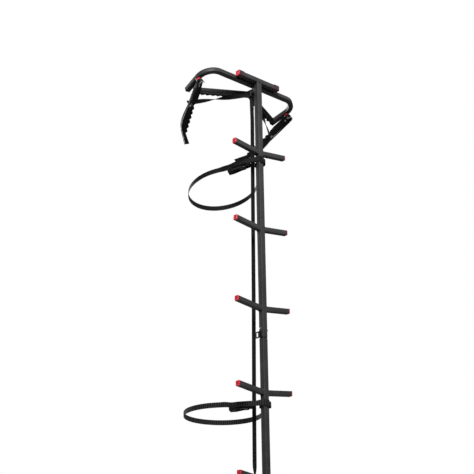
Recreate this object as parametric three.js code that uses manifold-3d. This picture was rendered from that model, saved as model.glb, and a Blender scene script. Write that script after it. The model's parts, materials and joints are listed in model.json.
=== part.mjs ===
// A tree climbing stick: one square post with V-shaped steps, a T-bar top, a bent grab bar with a
// toothed grip bar, and two toothed jaws that a pull strap closes round the trunk. Two ratchet straps
// hold the post to the trunk. Millimetres, +X the climber's right, +Y towards the tree, +Z up.
// Heights inside the stand group are counted from step 2; the group then moves the grip to the origin.
import * as THREE from "three";
import { mergeVertices } from "three/addons/utils/BufferGeometryUtils.js";
import Module from "manifold-3d";

const wasm = await Module();
wasm.setup();

// ---- Driving dimensions ----
const GAP = 0.3; // clearance between fixed neighbours
const STEP_PITCH = 406.4;
const STEP_COUNT = 5; // step_1 is the lowest, one pitch under the height datum
const POST = { size: 29, wall: 1.6, radius: 3, bottom: -650, joint: 264 };
const TUBE = { size: 25, wall: 1.6, radius: 3 };
const STEP = { reach: 163.5, rise: 0.129, cap: 4.2, plug: 16 };
const TOP_BAR = { z: 4 * STEP_PITCH, reach: 135, capLength: 33, capWall: 1.6 };
const INSERT = { size: 25, wall: 2, length: 150 };
const GRIP = { y: 87, z: 1560 }; // tooth line of the grip bar at mid-plane: the part's origin
const GRIP_BAR = { end: 279, sweep: 0.411, drop: 0.085, height: 27, thick: 5, flange: 24 };
const TOOTH = { pitch: 28, depth: 11, first: 30, count: 8, plate: 5 };
const GRAB = { y: 31, z: 1612, tilt: 15.4, bend: 75, turn: 97, straight: 228.5, leg: 102, bendStations: 11 };
const JAW = {
  x: 304, y: 96, z: 1558, tilt: 37, thick: 8, root: 16, hole: 4.7,
  strapIn: 24, strapDown: 132, flange: 20, lip: 3, taper: 60, wall: 4,
};
const BOLT = { shank: 4.2, head: 7.2, headHeight: 5.5 };
const YOKE = { y: 50, top: 1588, bottom: 1554, inside: 13.6, thick: 3, depth: 24 };
const STANDOFF_Z = 1578.5;
const PULL_STRAP = { width: 25, thick: 1.8 };
const TREE_STRAP = { width: 25, thick: 1.8, twist: 70 };
// Where each tree strap runs: the trunk it holds, its height at the post, its slope and its ratchet's droop.
const UPPER_STRAP = { radius: 174, centre: 279, height: 1183, slope: -0.23, droop: 90 };
const LOWER_STRAP = { radius: 186, centre: 293, height: -45, slope: 0, droop: 90 };
const RATCHET = {
  spoolFromPost: 50, roll: 9, plate: 2, inner: 14.5, wheel: 15, wheelThick: 2.5,
  length: 80, handle: 104, axle: 5.5, hole: 5.9,
};
const TENSIONER = { y: 76, z: -470 };
const DEG = Math.PI / 180;

// ---- Materials ----
function material(color, roughness, metalness) {
  return new THREE.MeshStandardMaterial({ color, roughness, metalness });
}
const powderCoat = material(0x2b2b2e, 0.55, 0.35);
const blackSteel = material(0x141416, 0.5, 0.5);
const redPlastic = material(0xc8202f, 0.45, 0);
const darkPlastic = material(0x3a1418, 0.55, 0);
const zinc = material(0xb9bbbf, 0.3, 0.9);
const webbing = material(0x0d0d0e, 0.85, 0);

// ---- Solids ----
function solid(geometry) {
  const bare = geometry.index ? geometry.toNonIndexed() : geometry.clone();
  bare.deleteAttribute("normal");
  bare.deleteAttribute("uv");
  const merged = mergeVertices(bare, 1e-3);
  return new wasm.Manifold(new wasm.Mesh({
    numProp: 3,
    vertProperties: merged.attributes.position.array,
    triVerts: new Uint32Array(merged.index.array),
  }));
}

function geometryOf(manifold) {
  const mesh = manifold.getMesh();
  const geometry = new THREE.BufferGeometry();
  geometry.setAttribute("position", new THREE.BufferAttribute(mesh.vertProperties, 3));
  geometry.setIndex(new THREE.BufferAttribute(mesh.triVerts, 1));
  const flat = geometry.toNonIndexed();
  flat.computeVertexNormals();
  return flat;
}

function join(...geometries) {
  return geometryOf(geometries.map(solid).reduce((all, next) => all.add(next)));
}

function cut(body, ...tools) {
  return geometryOf(tools.map(solid).reduce((left, tool) => left.subtract(tool), solid(body)));
}

function add(parent, name, geometry, finish) {
  const mesh = new THREE.Mesh(geometry, finish);
  mesh.name = name;
  parent.add(mesh);
  return mesh;
}

function box(low, high) {
  const size = high.map((value, axis) => value - low[axis]);
  const geometry = new THREE.BoxGeometry(...size);
  return geometry.translate(...low.map((value, axis) => value + size[axis] / 2));
}

function cylinder(radius, from, to, sides = 16) {
  const geometry = new THREE.CylinderGeometry(radius, radius, to - from, sides);
  return geometry.rotateX(Math.PI / 2).translate(0, 0, (from + to) / 2);
}

function roundedSquare(size, radius, path) {
  const flat = size / 2 - radius;
  path.absarc(flat, flat, radius, 0, Math.PI / 2);
  path.absarc(-flat, flat, radius, Math.PI / 2, Math.PI);
  path.absarc(-flat, -flat, radius, Math.PI, 1.5 * Math.PI);
  path.absarc(flat, -flat, radius, 1.5 * Math.PI, 2 * Math.PI);
  path.closePath();
  return path;
}

function tubeShape(size, wall, radius) {
  const shape = roundedSquare(size, radius, new THREE.Shape());
  if (wall > 0) {
    shape.holes.push(roundedSquare(size - 2 * wall, radius - wall / 2, new THREE.Path()));
  }
  return shape;
}

// three.js cuts each arc into twice as many edges as curveSegments says: two at a tube's corner.
function extrude(shape, depth, steps = 1, curveSegments = 1) {
  return new THREE.ExtrudeGeometry(shape, { depth, steps, curveSegments, bevelEnabled: false });
}

// A square tube along Z from one height to another.
function uprightTube(size, wall, radius, from, to) {
  return extrude(tubeShape(size, wall, radius), to - from).translate(0, 0, from);
}

// A square tube along X, centred on x = 0, with sections along its length that later bends can use.
function crossTube(size, wall, radius, reach, sections = 2) {
  return extrude(tubeShape(size, wall, radius), 2 * reach, sections).rotateY(Math.PI / 2).translate(-reach, 0, 0);
}

// Moves each vertex by a function of its place: used to bend, shear and twist straight stock.
function reshape(geometry, move) {
  const places = geometry.attributes.position;
  const point = new THREE.Vector3();
  for (let i = 0; i < places.count; i += 1) {
    point.fromBufferAttribute(places, i);
    move(point);
    places.setXYZ(i, point.x, point.y, point.z);
  }
  geometry.computeVertexNormals();
  return geometry;
}

// The mirror image across the mid-plane, with its corners relisted so that its faces still point out.
function mirrored(geometry) {
  const copy = geometry.index ? geometry.toNonIndexed() : geometry.clone();
  const places = copy.attributes.position;
  for (let i = 0; i < places.count; i += 3) {
    const corners = [0, 2, 1].map((k) => new THREE.Vector3().fromBufferAttribute(places, i + k));
    corners.forEach((corner, k) => places.setXYZ(i + k, -corner.x, corner.y, corner.z));
  }
  copy.computeVertexNormals();
  return copy;
}

function polygon(points) {
  return new THREE.Shape(points.map(([x, y]) => new THREE.Vector2(x, y)));
}

const stand = new THREE.Group();
stand.position.set(0, -GRIP.y, -GRIP.z);
const stepHeights = Array.from({ length: STEP_COUNT }, (_, i) => (i - 1) * STEP_PITCH);

// ---- Steps: one V-bent tube through the post, with a plastic cap at each end ----
function riseOutwards(point) {
  point.z += Math.abs(point.x) * STEP.rise;
}

function stepCap(side) {
  const plugSize = TUBE.size - 2 * TUBE.wall - 2 * GAP;
  const face = extrude(tubeShape(TUBE.size + 0.6, 0, TUBE.radius), STEP.cap);
  const plug = extrude(tubeShape(plugSize, 0, 1.5), STEP.plug + 1).translate(0, 0, -STEP.plug);
  const cap = join(face, plug).rotateY(Math.PI / 2).translate(STEP.reach + GAP, 0, 0);
  return reshape(side > 0 ? cap : cap.rotateZ(Math.PI), riseOutwards);
}

stepHeights.forEach((height, index) => {
  const name = `step_${index + 1}`;
  const tube = reshape(crossTube(TUBE.size, TUBE.wall, TUBE.radius, STEP.reach), riseOutwards);
  add(stand, name, tube, powderCoat).position.z = height;
  add(stand, `${name}_cap_left`, stepCap(-1), redPlastic).position.z = height;
  add(stand, `${name}_cap_right`, stepCap(1), redPlastic).position.z = height;
});

// ---- Post: two square tubes joined by an insert and one through bolt ----
function stepOpening(height) {
  const bar = extrude(tubeShape(TUBE.size + 2 * GAP, 0, TUBE.radius), 2 * POST.size, 2);
  bar.rotateY(Math.PI / 2).translate(-POST.size, 0, 0);
  return reshape(bar, riseOutwards).translate(0, 0, height);
}

function boltHole(z) {
  return cylinder(BOLT.shank + GAP, -POST.size, POST.size).rotateY(Math.PI / 2).translate(0, 0, z);
}

const jointBoltZ = POST.joint + 42;
const postTop = TOP_BAR.z - TUBE.size / 2 - GAP;
const upperOpenings = stepHeights.filter((z) => z > POST.joint).map(stepOpening);
const lowerOpenings = stepHeights.filter((z) => z < POST.joint).map(stepOpening);
const upperPost = uprightTube(POST.size, POST.wall, POST.radius, POST.joint + GAP, postTop);
const lowerPost = uprightTube(POST.size, POST.wall, POST.radius, POST.bottom, POST.joint - GAP);
add(stand, "upper_post", cut(upperPost, ...upperOpenings, boltHole(jointBoltZ)), powderCoat);
add(stand, "lower_post", cut(lowerPost, ...lowerOpenings), powderCoat);
const insertHalf = INSERT.length / 2;
const insert = uprightTube(
  INSERT.size, INSERT.wall, 2.4, POST.joint - insertHalf, POST.joint + insertHalf,
);
add(stand, "joint_insert", cut(insert, boltHole(jointBoltZ)), powderCoat);

function hexHead(radius, height) {
  return cylinder(radius, 0, height, 6);
}

const boltReach = POST.size / 2 + GAP;
const boltEnd = boltReach + 12;
const jointBolt = join(
  cylinder(BOLT.shank, -boltReach - 1, boltEnd),
  hexHead(BOLT.head, BOLT.headHeight).translate(0, 0, -boltReach - BOLT.headHeight),
);
add(stand, "joint_bolt", jointBolt.rotateY(Math.PI / 2).translate(0, 0, jointBoltZ), zinc);
const jointNut = cut(hexHead(BOLT.head, 7), cylinder(BOLT.shank + GAP, -1, 8));
add(stand, "joint_nut", jointNut.rotateY(Math.PI / 2).translate(boltReach, 0, jointBoltZ), zinc);

const keeper = { x: -POST.size / 2 - GAP, low: POST.joint + 2, high: POST.joint + 34, thick: 3 };
const keeperPlate = cut(
  box([keeper.x - keeper.thick, -10, keeper.low], [keeper.x, 34, keeper.high]),
  box([keeper.x - 10, 18, keeper.low + 6], [keeper.x + 10, 30, keeper.high - 6]),
);
add(stand, "strap_keeper", keeperPlate, blackSteel);

const plugSize = POST.size - 2 * POST.wall - 2 * GAP;
const postPlug = join(
  uprightTube(POST.size + 0.6, 0, POST.radius, POST.bottom - GAP - 5, POST.bottom - GAP),
  uprightTube(plugSize, 0, 1.5, POST.bottom - GAP - 1, POST.bottom + 25),
);
add(stand, "post_plug", postPlug, darkPlastic);

// ---- T-bar with a sleeve cap on each end ----
const topBar = crossTube(TUBE.size, TUBE.wall, TUBE.radius, TOP_BAR.reach, 6);
add(stand, "top_bar", topBar, powderCoat).position.z = TOP_BAR.z;
const sleeveSize = TUBE.size + 2 * (GAP + TOP_BAR.capWall);
for (const [side, turn] of [["right", Math.PI / 2], ["left", -Math.PI / 2]]) {
  const outside = extrude(tubeShape(sleeveSize, 0, TUBE.radius + 1), TOP_BAR.capLength);
  const bore = extrude(tubeShape(TUBE.size + 2 * GAP, 0, TUBE.radius), TOP_BAR.capLength);
  const sleeve = cut(outside, bore.translate(0, 0, -3));
  sleeve.translate(0, 0, TOP_BAR.reach + 3 + GAP - TOP_BAR.capLength).rotateY(turn);
  add(stand, `top_bar_cap_${side}`, sleeve, redPlastic).position.z = TOP_BAR.z;
}

// ---- Grab bar: a straight run behind the post, bent back at both ends, in one tilted plane ----
// Each half has one station for its straight run, several for its bend and one for its leg.
const HALF_STATIONS = GRAB.bendStations + 2;

class GrabBarLine extends THREE.Curve {
  getUtoTmapping(share) {
    return share;
  }

  getPoint(t, target = new THREE.Vector3()) {
    const station = (2 * t - 1) * HALF_STATIONS;
    const side = Math.sign(station);
    const reached = Math.abs(station);
    const straight = Math.min(reached, 1) * GRAB.straight;
    const turn = GRAB.turn * DEG * THREE.MathUtils.clamp((reached - 1) / GRAB.bendStations, 0, 1);
    const leg = Math.max(reached - 1 - GRAB.bendStations, 0) * GRAB.leg;
    const x = straight + GRAB.bend * Math.sin(turn) + leg * Math.cos(turn);
    return target.set(side * x, GRAB.bend * (1 - Math.cos(turn)) + leg * Math.sin(turn), 0);
  }
}

function grabBarGeometry(size, wall) {
  const geometry = new THREE.ExtrudeGeometry(tubeShape(size, wall, TUBE.radius), {
    extrudePath: new GrabBarLine(), steps: 2 * HALF_STATIONS, curveSegments: 1, bevelEnabled: false,
  });
  return geometry.rotateX(-GRAB.tilt * DEG).translate(0, GRAB.y, GRAB.z);
}

const grabBar = grabBarGeometry(TUBE.size, TUBE.wall);
add(stand, "grab_bar", grabBar, powderCoat);

function grabBarCap() {
  const face = extrude(tubeShape(TUBE.size + 0.4, 0, TUBE.radius), 3);
  const plug = extrude(tubeShape(TUBE.size - 2 * TUBE.wall - 1, 0, 1.5), 15).translate(0, 0, -14);
  const end = new GrabBarLine().getPoint(1);
  const cap = join(face, plug).translate(0, 0, GAP).rotateX(-Math.PI / 2);
  cap.rotateZ((GRAB.turn - 90) * DEG).translate(end.x, end.y, 0);
  return cap.rotateX(-GRAB.tilt * DEG).translate(0, GRAB.y, GRAB.z);
}
add(stand, "grab_bar_cap_right", grabBarCap(), darkPlastic);
add(stand, "grab_bar_cap_left", mirrored(grabBarCap()), darkPlastic);

// ---- Grip bar: a V-bent upright plate on a standoff, with a toothed plate under each arm ----
const gripAngle = Math.atan(GRIP_BAR.sweep);
const webBack = GRIP.y - (GRIP_BAR.flange - GRIP_BAR.thick) / Math.cos(gripAngle);
const webThick = GRIP_BAR.thick / Math.cos(gripAngle);
const webLow = GRIP.z + TOOTH.plate + GAP;

function sweepBack(point) {
  point.y += Math.abs(point.x) * GRIP_BAR.sweep;
  point.z -= Math.abs(point.x) * GRIP_BAR.drop;
}

const web = new THREE.BoxGeometry(2 * GRIP_BAR.end, webThick, GRIP_BAR.height, 2, 1, 1);
web.translate(0, webBack - webThick / 2, webLow + GRIP_BAR.height / 2);
add(stand, "grip_bar", reshape(web, sweepBack), blackSteel);

function toothPlate(side) {
  const front = GRIP.y - GRIP_BAR.flange / Math.cos(gripAngle);
  const valley = GRIP.y - TOOTH.depth;
  const pitch = TOOTH.pitch * Math.cos(gripAngle);
  const outline = [[1, front], [1, valley], [TOOTH.first, valley]];
  for (let i = 0; i < TOOTH.count; i += 1) {
    const start = TOOTH.first + i * pitch;
    outline.push([start + 0.5 * pitch, GRIP.y], [start + pitch, valley]);
  }
  outline.push([GRIP_BAR.end, valley], [GRIP_BAR.end, front]);
  const points = outline.map(([x, y]) => [side * x, y]);
  const plate = extrude(polygon(points), TOOTH.plate).translate(0, 0, GRIP.z);
  return reshape(plate, sweepBack);
}
add(stand, "tooth_plate_left", toothPlate(-1), blackSteel);
add(stand, "tooth_plate_right", toothPlate(1), blackSteel);

const standoff = extrude(tubeShape(TUBE.size, TUBE.wall, TUBE.radius), 1).rotateX(Math.PI / 2);
const standoffFrom = POST.size / 2 + GAP;
const standoffTo = webBack - webThick - GAP;
reshape(standoff, (point) => { point.y = point.y < -0.5 ? standoffFrom : standoffTo; });
add(stand, "grip_bar_standoff", standoff, powderCoat).position.z = STANDOFF_Z;

// ---- Jaws: each swings in its own tilted plane under a leg of the grab bar ----
const jawFrame = new THREE.Group();
jawFrame.rotation.x = -JAW.tilt * DEG;
jawFrame.position.set(0, JAW.y, JAW.z);
stand.add(jawFrame);

const JAW_TEETH = { count: 6, depth: 8.5, from: [-44, 130], to: [-92, 282] };
const JAW_OUTER_EDGE = [[13, 20], [9, 40], [6, 60], [-13, 138], [-20, 190], [-27, 222], [-39, 252], [-58, 278], [-125, 343]];
const JAW_INNER_EDGE = [[-48, 109], [-44, 81], [-33, 47]];

function rootArc(radius, from = Math.PI) {
  return Array.from({ length: 9 }, (_, i) => {
    const angle = from + ((2 * Math.PI - from) * i) / 8;
    return [radius * Math.cos(angle), radius * Math.sin(angle)];
  });
}

function jawShape() {
  const outline = [...rootArc(JAW.root), ...JAW_OUTER_EDGE, [-148, 330], JAW_TEETH.to];
  const [toX, toY] = JAW_TEETH.to;
  const [fromX, fromY] = JAW_TEETH.from;
  const run = Math.hypot(fromX - toX, fromY - toY);
  const [unitX, unitY] = [(fromX - toX) / run, (fromY - toY) / run];
  for (let i = 0; i < JAW_TEETH.count; i += 1) {
    const tip = ((i + 0.35) / JAW_TEETH.count) * run;
    const root = ((i + 1) / JAW_TEETH.count) * run;
    const proud = JAW_TEETH.depth;
    outline.push([toX + unitX * tip + unitY * proud, toY + unitY * tip - unitX * proud]);
    outline.push([toX + unitX * root, toY + unitY * root]);
  }
  return polygon([...outline, ...JAW_INNER_EDGE]);
}

// A strip of the given thickness on the left side of a line of points.
function stripShape(line, thick) {
  const edge = line.map(([x, y], i) => {
    const [beforeX, beforeY] = line[Math.max(i - 1, 0)];
    const [afterX, afterY] = line[Math.min(i + 1, line.length - 1)];
    const length = Math.hypot(afterX - beforeX, afterY - beforeY);
    return [x - ((afterY - beforeY) / length) * thick, y + ((afterX - beforeX) / length) * thick];
  });
  return polygon([...line, ...edge.reverse()]);
}

// The flange follows the rounded root, where it is deep, and the outer edge, where it is a low lip.
function jawFlange() {
  const line = [...rootArc(JAW.root - 0.3, 1.25 * Math.PI), ...JAW_OUTER_EDGE.slice(0, -1), [-118, 336.2]];
  const strip = extrude(stripShape(line, JAW.wall), JAW.flange + 1).translate(0, 0, -JAW.thick / 2 - JAW.flange);
  return reshape(strip, (point) => {
    if (point.z < -JAW.thick / 2) {
      point.z += (JAW.flange - JAW.lip) * THREE.MathUtils.smoothstep(point.y, 0, JAW.taper);
    }
  });
}

function jawGeometry() {
  const plate = extrude(jawShape(), JAW.thick).translate(0, 0, -JAW.thick / 2);
  const holes = [[0, 0, JAW.hole], [-JAW.strapIn, JAW.strapDown, BOLT.shank + GAP]];
  const drills = holes.map(([x, y, r]) => cylinder(r, -20, 20).translate(x, y, 0));
  return cut(join(plate, jawFlange()), ...drills);
}

// The boss is cut to the grab bar's leg, which it is welded under.
function hingeBoss() {
  const boss = cut(cylinder(12, JAW.thick / 2 + 0.5, 31), cylinder(BOLT.shank + GAP, 0, 40));
  boss.translate(JAW.x, 0, 0).rotateX(-JAW.tilt * DEG).translate(0, JAW.y, JAW.z);
  return cut(boss, grabBarGeometry(TUBE.size + 2 * GAP, 0));
}

const pivotBolt = join(
  hexHead(BOLT.head, BOLT.headHeight).translate(0, 0, -JAW.thick / 2 - 0.4 - BOLT.headHeight),
  cylinder(BOLT.shank, -JAW.thick / 2 - 1, 20),
).translate(JAW.x, 0, 0);
const strapBoltAt = [JAW.x - JAW.strapIn, JAW.strapDown, 0];
const strapBolt = join(
  hexHead(BOLT.head, BOLT.headHeight).translate(0, 0, -JAW.thick / 2 - 0.4 - BOLT.headHeight),
  cylinder(BOLT.shank, -JAW.thick / 2 - 1, 33),
  cylinder(5.8, 31.8, 34, 6),
).translate(...strapBoltAt);
const rightJaw = jawGeometry().translate(JAW.x, 0, 0);
const rightBoss = hingeBoss();

for (const [side, shaped] of [["right", (g) => g], ["left", mirrored]]) {
  add(jawFrame, `jaw_${side}`, shaped(rightJaw), blackSteel);
  add(jawFrame, `jaw_${side}_pivot_bolt`, shaped(pivotBolt), zinc);
  add(jawFrame, `jaw_${side}_strap_bolt`, shaped(strapBolt), zinc);
  add(stand, `jaw_${side}_hinge`, shaped(rightBoss), blackSteel);
}

// ---- Yoke, link straps and pull strap ----
const yokeOut = YOKE.inside + YOKE.thick;
const yoke = cut(
  box([-yokeOut, YOKE.y - YOKE.depth / 2, YOKE.bottom], [yokeOut, YOKE.y + YOKE.depth / 2, YOKE.top]),
  box([-YOKE.inside, 0, YOKE.bottom + YOKE.thick], [YOKE.inside, 100, YOKE.top + 10]),
);
add(stand, "strap_yoke", yoke, blackSteel);

// A flat strap between two points. Its width starts along one direction and ends along another,
// turned by whole half-turns in between.
function twistedStrap(from, to, width, thick, startTurn, endTurn) {
  const line = new THREE.Vector3().subVectors(to, from);
  const length = line.length();
  const strap = new THREE.BoxGeometry(thick, width, length, 1, 1, 18).translate(0, 0, length / 2);
  reshape(strap, (point) => {
    const share = THREE.MathUtils.smoothstep(point.z / length, 0.05, 0.95);
    const turn = (startTurn + (endTurn - startTurn) * share) * DEG;
    const [x, y] = [point.x, point.y];
    point.x = x * Math.cos(turn) - y * Math.sin(turn);
    point.y = x * Math.sin(turn) + y * Math.cos(turn);
  });
  const along = line.clone().normalize();
  const side = new THREE.Vector3().crossVectors(new THREE.Vector3(0, 0, 1), along).normalize();
  const up = new THREE.Vector3().crossVectors(along, side);
  const turnTo = new THREE.Matrix4().makeBasis(side, up, along).setPosition(from);
  return strap.applyMatrix4(turnTo);
}

function fromJawFrame([x, y, z]) {
  const point = new THREE.Vector3(x, y, z).applyAxisAngle(new THREE.Vector3(1, 0, 0), -JAW.tilt * DEG);
  return point.add(new THREE.Vector3(0, JAW.y, JAW.z));
}
const strapEye = fromJawFrame([strapBoltAt[0] - BOLT.head - 2, strapBoltAt[1] - 5, 18.6]);
const yokeEye = new THREE.Vector3(yokeOut + 2.2, YOKE.y, YOKE.bottom + 8);
const rightLink = twistedStrap(yokeEye, strapEye, PULL_STRAP.width, PULL_STRAP.thick, 0, 180);
add(stand, "link_strap_right", rightLink, webbing);
add(stand, "link_strap_left", mirrored(rightLink), webbing);

// The strap runs down behind the post and turns a quarter before the tensioner's spool.
const pullStrapRoute = [
  { y: YOKE.y, z: YOKE.bottom - GAP }, { y: 46.5, z: 1423 }, { y: 62, z: 468 }, { y: 72, z: 0 },
  { y: 77, z: TENSIONER.z + 150 }, { y: TENSIONER.y, z: TENSIONER.z + 40 }, { y: TENSIONER.y, z: TENSIONER.z + 4 },
];

function pullStrap() {
  const top = pullStrapRoute[0].z;
  const bottom = pullStrapRoute[pullStrapRoute.length - 1].z;
  const rows = 24;
  const strap = new THREE.BoxGeometry(PULL_STRAP.width, PULL_STRAP.thick, top - bottom, 1, 1, rows);
  strap.translate(0, 0, (top + bottom) / 2);
  return reshape(strap, (point) => {
    const next = Math.max(pullStrapRoute.findIndex((stop) => stop.z <= point.z + 1e-6), 1);
    const [above, below] = [pullStrapRoute[next - 1], pullStrapRoute[next]];
    const share = (above.z - point.z) / (above.z - below.z);
    const height = point.z - TENSIONER.z;
    const turn = (1 - THREE.MathUtils.smoothstep(height, 40, 150)) * Math.PI / 2;
    const [x, y] = [point.x, point.y];
    point.x = x * Math.cos(turn) - y * Math.sin(turn);
    point.y = above.y + (below.y - above.y) * share + x * Math.sin(turn) + y * Math.cos(turn);
  });
}
add(stand, "pull_strap", pullStrap(), webbing);

// ---- Ratchets: X along the strap, Y away from the tree, Z along the spool ----
function ratchetFrame(baseTab) {
  const { inner, plate, length, hole } = RATCHET;
  const outline = [[-12, -5], [length, -5], [length, 9], [12, 24], [-12, 21]];
  const parts = [inner, -inner - plate].map((z) => extrude(polygon(outline), plate).translate(0, 0, z));
  const base = box([30, -5, -inner - 1], [length - 12 + baseTab, -2.8, inner + 1]);
  const anchor = cylinder(4, -inner - 1, inner + 1).translate(length - 8, 4.5, 0);
  const axleHole = cylinder(hole, -40, 40).translate(0, 11, 0);
  return cut(join(...parts, base, anchor), axleHole);
}

function ratchetSpool() {
  const { inner, plate, wheel, wheelThick, roll, axle } = RATCHET;
  const gear = polygon(Array.from({ length: 20 }, (_, i) => {
    const radius = i % 2 ? wheel : wheel - 4;
    const angle = i * 18 * DEG;
    return [radius * Math.cos(angle), radius * Math.sin(angle)];
  }));
  const gearFrom = inner + plate + 0.4;
  const wheels = [gearFrom, -gearFrom - wheelThick].map((z) => extrude(gear, wheelThick).translate(0, 0, z));
  const barrel = cylinder(roll, -inner + 0.6, inner - 0.6);
  const reach = gearFrom + wheelThick + 1 + plate + 2;
  return join(cylinder(axle, -reach, reach), barrel, ...wheels).translate(0, 11, 0);
}

function ratchetHandle() {
  const { inner, plate, wheelThick, handle, hole } = RATCHET;
  const from = inner + plate + wheelThick + 1;
  const side = new THREE.Shape();
  side.absarc(0, 11, 13, 0.75 * Math.PI, 1.75 * Math.PI);
  side.lineTo(handle, 14);
  side.lineTo(handle, 33);
  side.lineTo(66, 31);
  side.closePath();
  const plates = [from, -from - plate].map((z) => extrude(side, plate, 1, 4).translate(0, 0, z));
  const grip = box([72, 27, -from - 1], [handle, 33, from + 1]);
  const bar = box([handle - 4, 14, -from - 1], [handle, 33, from + 1]);
  const axleHole = cylinder(hole, -40, 40).translate(0, 11, 0);
  return cut(join(...plates, grip, bar), axleHole);
}

// The sprung pawl is a flat slider between the handle's sides, just clear of the ratchet wheels.
function ratchetPawl() {
  const half = RATCHET.inner + RATCHET.plate + RATCHET.wheelThick + 0.6;
  return box([17, 25.6, -half], [40, 28, half]);
}

function addRatchet(name, place) {
  const group = new THREE.Group();
  place.decompose(group.position, group.quaternion, group.scale);
  stand.add(group);
  add(group, `${name}_frame`, ratchetFrame(name === "tensioner" ? 30 : 0), blackSteel);
  add(group, `${name}_spool`, ratchetSpool(), zinc);
  add(group, `${name}_handle`, ratchetHandle(), blackSteel);
  add(group, `${name}_pawl`, ratchetPawl(), zinc);
}

// ---- Tree straps: round the post's front, over both free spans and round the trunk ----
// Shares of the way from one number to another, without either end.
function between(from, to, count) {
  return Array.from({ length: count }, (_, i) => from + ((to - from) * (i + 1)) / (count + 1));
}

// Each ratchet droops by its own weight: the strap twists with it on both sides of the ratchet.
function treeStrap(name, { radius, centre, height, slope, droop }) {
  const half = POST.size / 2 + 0.6;
  const start = new THREE.Vector2(-half, 0);
  const toTree = Math.hypot(half, centre);
  const lean = Math.acos(radius / toTree) + Math.atan2(half, centre);
  const onTrunk = (angle) => [-radius * Math.sin(angle), centre - radius * Math.cos(angle)];
  const touch = new THREE.Vector2(...onTrunk(lean));
  const span = touch.distanceTo(start);
  const along = touch.clone().sub(start).normalize();
  const outward = new THREE.Vector2(-along.y, along.x);
  const onSpan = (reach) => [start.x + along.x * reach, start.y + along.y * reach];
  const anchorAt = RATCHET.spoolFromPost + RATCHET.length - 3;
  const spoolSide = RATCHET.spoolFromPost - RATCHET.roll - 2;
  const line = [
    onSpan(anchorAt), ...between(anchorAt, anchorAt + TREE_STRAP.twist, 5).map(onSpan),
    onSpan(anchorAt + TREE_STRAP.twist), onSpan(span),
    ...between(lean, 2 * Math.PI - lean, 38).map(onTrunk), onTrunk(2 * Math.PI - lean),
    [half, 2], [half, -half + 2.5], [half - 2.5, -half], [-half + 2.5, -half], [-half, -half + 2.5],
    [start.x, start.y], ...between(0, spoolSide, 4).map(onSpan), onSpan(spoolSide),
  ];
  const strap = extrude(stripShape(line, TREE_STRAP.thick), TREE_STRAP.width);
  strap.translate(0, 0, -TREE_STRAP.width / 2);
  reshape(strap, (point) => {
    const fromStart = new THREE.Vector2(point.x, point.y).sub(start);
    const reach = fromStart.dot(along);
    const proud = fromStart.dot(outward);
    if (reach > 0 && Math.abs(proud) < 2 * TREE_STRAP.thick) {
      const rising = THREE.MathUtils.smoothstep(reach, 0, spoolSide);
      const falling = 1 - THREE.MathUtils.smoothstep(reach, anchorAt, anchorAt + TREE_STRAP.twist);
      const turn = droop * DEG * rising * falling;
      const turned = proud * Math.cos(turn) + point.z * Math.sin(turn) - proud;
      point.x += outward.x * turned;
      point.y += outward.y * turned;
      point.z = point.z * Math.cos(turn) - proud * Math.sin(turn);
    }
    point.z += height + slope * point.y;
  });
  add(stand, `tree_strap_${name}`, strap, webbing);

  const [spoolX, spoolY] = onSpan(RATCHET.spoolFromPost);
  const axisX = new THREE.Vector3(along.x, along.y, slope * along.y).normalize();
  const axisY = new THREE.Vector3(outward.x, outward.y, 0).applyAxisAngle(axisX, -droop * DEG);
  const axisZ = new THREE.Vector3().crossVectors(axisX, axisY);
  const place = new THREE.Matrix4().makeBasis(axisX, axisY, axisZ);
  place.setPosition(spoolX, spoolY, height + slope * spoolY);
  addRatchet(`${name}_ratchet`, place);
}
treeStrap("upper", UPPER_STRAP);
treeStrap("lower", LOWER_STRAP);

// ---- Tensioner: a third ratchet under the pull strap, on a bracket from the post's back ----
const tensionerPlace = new THREE.Matrix4().makeBasis(
  new THREE.Vector3(0, 0, -1), new THREE.Vector3(-1, 0, 0), new THREE.Vector3(0, 1, 0),
);
tensionerPlace.setPosition(0, TENSIONER.y, TENSIONER.z);
addRatchet("tensioner", tensionerPlace);
const armTop = TENSIONER.z - RATCHET.length - GAP;
const bracketArm = box([-10, POST.size / 2 + GAP, armTop - 14], [2.5, TENSIONER.y + 18, armTop]);
const bracketPad = box([-11, POST.size / 2 + GAP, armTop - 46], [11, POST.size / 2 + 4, armTop + 20]);
add(stand, "tensioner_bracket", join(bracketArm, bracketPad), blackSteel);

export default stand;
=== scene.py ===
"""Looks for a ladder tree stand: a climbing stick with V-shaped steps, a T-bar, a bent grab bar,
strap-closed toothed jaws and ratchet straps. Metres, +X the climber's right, +Y towards the tree, +Z up.
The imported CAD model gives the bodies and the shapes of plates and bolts, whose edges are rounded here.
Tubes, caps, webbing, spools and small hardware are made here anew.
Shapes are in millimetres in the stand's own frame until at() turns them into metres in the part's frame.
The camera and the lights are placed in metres in the part's frame."""

import json
import math

import bmesh
import bpy
from mathutils import Matrix, Vector, noise

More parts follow.
